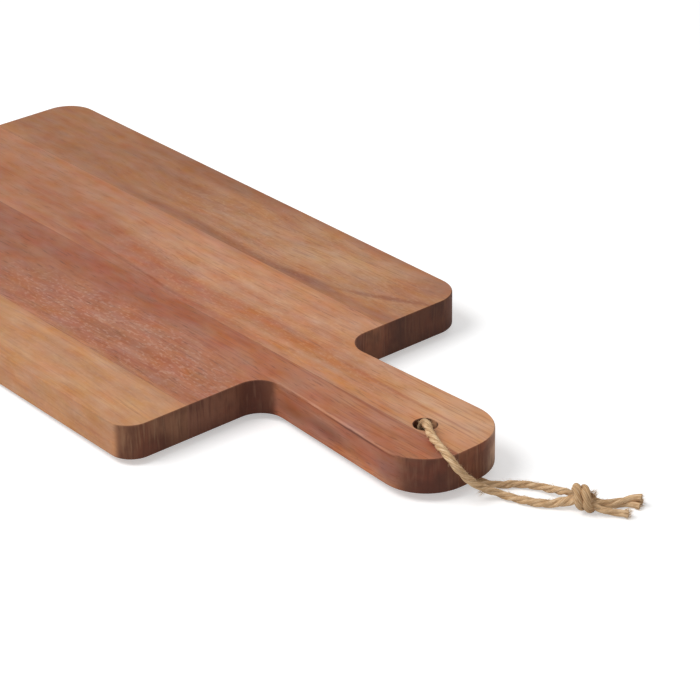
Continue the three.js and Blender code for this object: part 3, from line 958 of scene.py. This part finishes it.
fibre_curve = bpy.data.curves.new("fibres", "CURVE")
fibre_curve.dimensions = "3D"
fibre_curve.bevel_depth = FIBRE_RADIUS
fibre_curve.bevel_resolution = 0
fuzz(fibre_curve, over_line, OVER_FUZZ_START, len(over_line) - FUZZ_STOP, FUZZ_EACH)
fuzz(fibre_curve, under_line, UNDER_FUZZ_START, len(under_line) - FUZZ_STOP, FUZZ_EACH)
brush(fibre_curve, over_line, short_cut, BRUSH_EACH)
brush(fibre_curve, under_line, long_cut, BRUSH_EACH)
for place, radius, count, lead, longest in TUFTS:
    tuft(fibre_curve, from_hole(*place), radius * MM, count, Vector(lead), longest * MM)
fibre_draft = bpy.data.objects.new("fibres", fibre_curve)
bpy.context.scene.collection.objects.link(fibre_draft)
fibres = bmesh.new()
fibres.from_mesh(fibre_draft.to_mesh())
bpy.data.objects.remove(fibre_draft)
fibre_piece = finish_piece(fibres, "jute_loose_fibres", "cord")

# %% [markdown]
# ## Jute
# Jute is a coarse plant fibre, pale gold to brown, and matte. Single fibres run along each ply as
# fine streaks, and the grooves between the plies are painted darker as shade. Streaks in the
# object's coordinates would cut across the bends, so they follow the attribute that was kept on the
# twine. The knot's jute is a little darker as painted shade among its turns, and so is the stretch
# at the hole's rim, as painted shade from the hole.

# %% Twisted jute
FIBRE_SIZE = (0.35, 0.35, 4)  # across and along the twine in mm, coarser than real so that it shows
PATCH_SIZE = (1.5, 1.5, 3)
JUTE_STOPS = (0.3, 0.5, 0.7)  # amounts of noise that take the three shades
GROOVE_SHADE_COLOUR, HOLE_RIM_SHADE_COLOUR = "#7d5c3a", "#6e5233"
JUTE_RELIEF = 0.15 * MM
hole_mouth = Vector((hole_x, 0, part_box("far_handle_stave")[1][2]))


def twisted_jute(name, shades):
    """Three shades from dark to pale, with darker patches, painted shade in the grooves and painted
    shade on the stretch at the hole's rim.
    """
    material, tree, shader = new_material(name)
    lay = add_node(tree, "ShaderNodeAttribute", {}, attribute_name="fibre").outputs["Vector"]
    noises = {}
    for size, detail in ((FIBRE_SIZE, 3), (PATCH_SIZE, 2)):
        scaled = add_node(tree, "ShaderNodeMapping",
                          {"Vector": lay, "Scale": [1 / side for side in size]}).outputs[0]
        noises[size] = add_node(tree, "ShaderNodeTexNoise",
                                {"Vector": scaled, "Scale": 1, "Detail": detail}).outputs["Fac"]
    tan = add_node(tree, "ShaderNodeValToRGB", {"Fac": noises[FIBRE_SIZE]})
    tan.color_ramp.elements.new(0.5)
    for element, position, code in zip(tan.color_ramp.elements, JUTE_STOPS, shades):
        element.position = position
        element.color = linear(code)
    colour = tint(tree, tan.outputs["Color"], shades[0], noises[PATCH_SIZE],
                  low=0.5, high=0.34, strength=0.5)
    across = add_node(tree, "ShaderNodeVectorMath", {0: lay, 1: (1, 1, 0)}, operation="MULTIPLY")
    from_middle = add_node(tree, "ShaderNodeVectorMath", {0: across.outputs[0]},
                           operation="LENGTH").outputs["Value"]  # in mm, as the attribute is
    # painted shade: darker where the surface dips towards the middle, in the grooves between plies
    colour = tint(tree, colour, GROOVE_SHADE_COLOUR, from_middle, low=1.4, high=1.0, strength=0.5)
    spot = add_node(tree, "ShaderNodeTexCoord", {}).outputs["Object"]
    from_mouth = add_node(tree, "ShaderNodeVectorMath", {0: spot, 1: hole_mouth},
                          operation="DISTANCE").outputs["Value"]
    # painted shade: the twine darkens within a few mm of the hole's mouth
    colour = tint(tree, colour, HOLE_RIM_SHADE_COLOUR, from_mouth, low=8 * MM, high=2 * MM, strength=0.5)
    tree.links.new(colour, shader.inputs["Base Color"])
    relief = add_node(tree, "ShaderNodeBump",
                      {"Strength": 0.6, "Distance": JUTE_RELIEF, "Height": noises[FIBRE_SIZE]})
    tree.links.new(relief.outputs[0], shader.inputs["Normal"])
    shader.inputs["Roughness"].default_value = 0.9
    print(name, "has", len(tree.nodes), "nodes")
    return material


loose_twine = twisted_jute("twisted natural jute", ("#b48a5e", "#dcb78c", "#f0d5b0"))
for piece in (over_piece, under_piece):
    piece.data.materials.append(loose_twine)
# painted shade: the knot's twine is darker, standing in for shade among its turns
knot_twine_with_shade = twisted_jute("natural jute with painted knot shade", ("#9c744c", "#c59f74", "#dcbe98"))
knot_piece.data.materials.append(knot_twine_with_shade)

# %% Loose jute
SHADE_SIZE = 0.8 * MM  # stretch of a fibre that keeps one shade

loose_jute, loose_tree, loose_shader = new_material("loose jute fibres")
loose_spot = add_node(loose_tree, "ShaderNodeTexCoord", {}).outputs["Object"]
loose_noise = add_node(loose_tree, "ShaderNodeTexNoise",
                       {"Vector": loose_spot, "Scale": 1 / SHADE_SIZE}).outputs["Fac"]
loose_colour = add_node(loose_tree, "ShaderNodeMix",
                        {0: loose_noise, 6: linear("#b08a5e"), 7: linear("#ecd2ac")},
                        data_type="RGBA")
loose_tree.links.new(loose_colour.outputs[2], loose_shader.inputs["Base Color"])
loose_shader.inputs["Roughness"].default_value = 0.85
fibre_piece.data.materials.append(loose_jute)
print("jute on the twine, its knot and its loose fibres")

# %% [markdown]
# ## Points along the cord
# The real twine is limp and only lies as it was put down, which a mesh alone doesn't say. Below,
# every fourth point of each half's line is taken as a list.

[tuple(p) for p in over_line[::4]]
[tuple(p) for p in under_line[::4]]

# %% [markdown]
# ## Floor and light
# The board lies on a plain white sweep under one large soft lamp, with white light from all round.
# The lamp is above the board's long near side, so that side is as bright as the top, the sawn ends
# are in soft shade and the shadow falls behind the board. More light would make the floor white
# but bleach the wood. So the floor glows a little where the camera sees it, which makes it white
# and keeps the board's shadow.

# %% Floor
FLOOR_RADIUS = 4
FLOOR_GLOW = 0.42

floor_bmesh = bmesh.new()
bmesh.ops.create_circle(floor_bmesh, cap_ends=True, segments=96, radius=FLOOR_RADIUS)
floor_mesh = bpy.data.meshes.new("floor")
floor_bmesh.to_mesh(floor_mesh)
floor_bmesh.free()
floor = bpy.data.objects.new("floor", floor_mesh)
bpy.context.scene.collection.objects.link(floor)
paper, paper_tree, paper_shader = new_material("white paper sweep")
paper_shader.inputs["Base Color"].default_value = linear("#e6e6e6")
paper_shader.inputs["Roughness"].default_value = 0.9
paper_shader.inputs["Emission Color"].default_value = (1, 1, 1, 1)
seen = add_node(paper_tree, "ShaderNodeLightPath", {}).outputs["Is Camera Ray"]
glow = add_node(paper_tree, "ShaderNodeMath", {0: seen, 1: FLOOR_GLOW}, operation="MULTIPLY")
paper_tree.links.new(glow.outputs[0], paper_shader.inputs["Emission Strength"])
floor.data.materials.append(paper)
print("floor:", 2 * FLOOR_RADIUS, "m across")

# %% World and lamp
WORLD_LIGHT, WORLD_SEEN = 0.45, 1.0  # strength as light on the board and as a white background
LAMP_PLACE = Vector((-0.2, -0.68, 1.05))
LAMP_AIM = Vector((0.1, 0, 0))
LAMP_SIZE = 0.8
LAMP_WATTS = 10.5

world = bpy.data.worlds.new("white room")
world.use_nodes = True
bpy.context.scene.world = world
sky = world.node_tree.nodes["Background"]
sky.inputs["Color"].default_value = (1, 1, 1, 1)
rays = add_node(world.node_tree, "ShaderNodeLightPath", {}).outputs
straight = rays["Is Camera Ray"]
for kind in ("Is Glossy Ray", "Is Transmission Ray"):
    straight = add_node(world.node_tree, "ShaderNodeMath", {0: straight, 1: rays[kind]},
                        operation="MAXIMUM").outputs[0]
strength = add_node(world.node_tree, "ShaderNodeMapRange",
                    {"Value": straight, "To Min": WORLD_LIGHT, "To Max": WORLD_SEEN})
world.node_tree.links.new(strength.outputs[0], sky.inputs["Strength"])

softbox = bpy.data.objects.new("softbox", bpy.data.lights.new("softbox", "AREA"))
softbox.data.shape = "DISK"
softbox.data.size = LAMP_SIZE
softbox.data.energy = LAMP_WATTS
softbox.location = LAMP_PLACE
softbox.rotation_euler = (LAMP_AIM - LAMP_PLACE).to_track_quat("-Z", "Y").to_euler()
bpy.context.scene.collection.objects.link(softbox)
bpy.context.scene.view_settings.view_transform = "Standard"
print("softbox at", round(LAMP_PLACE.length, 2), "m")
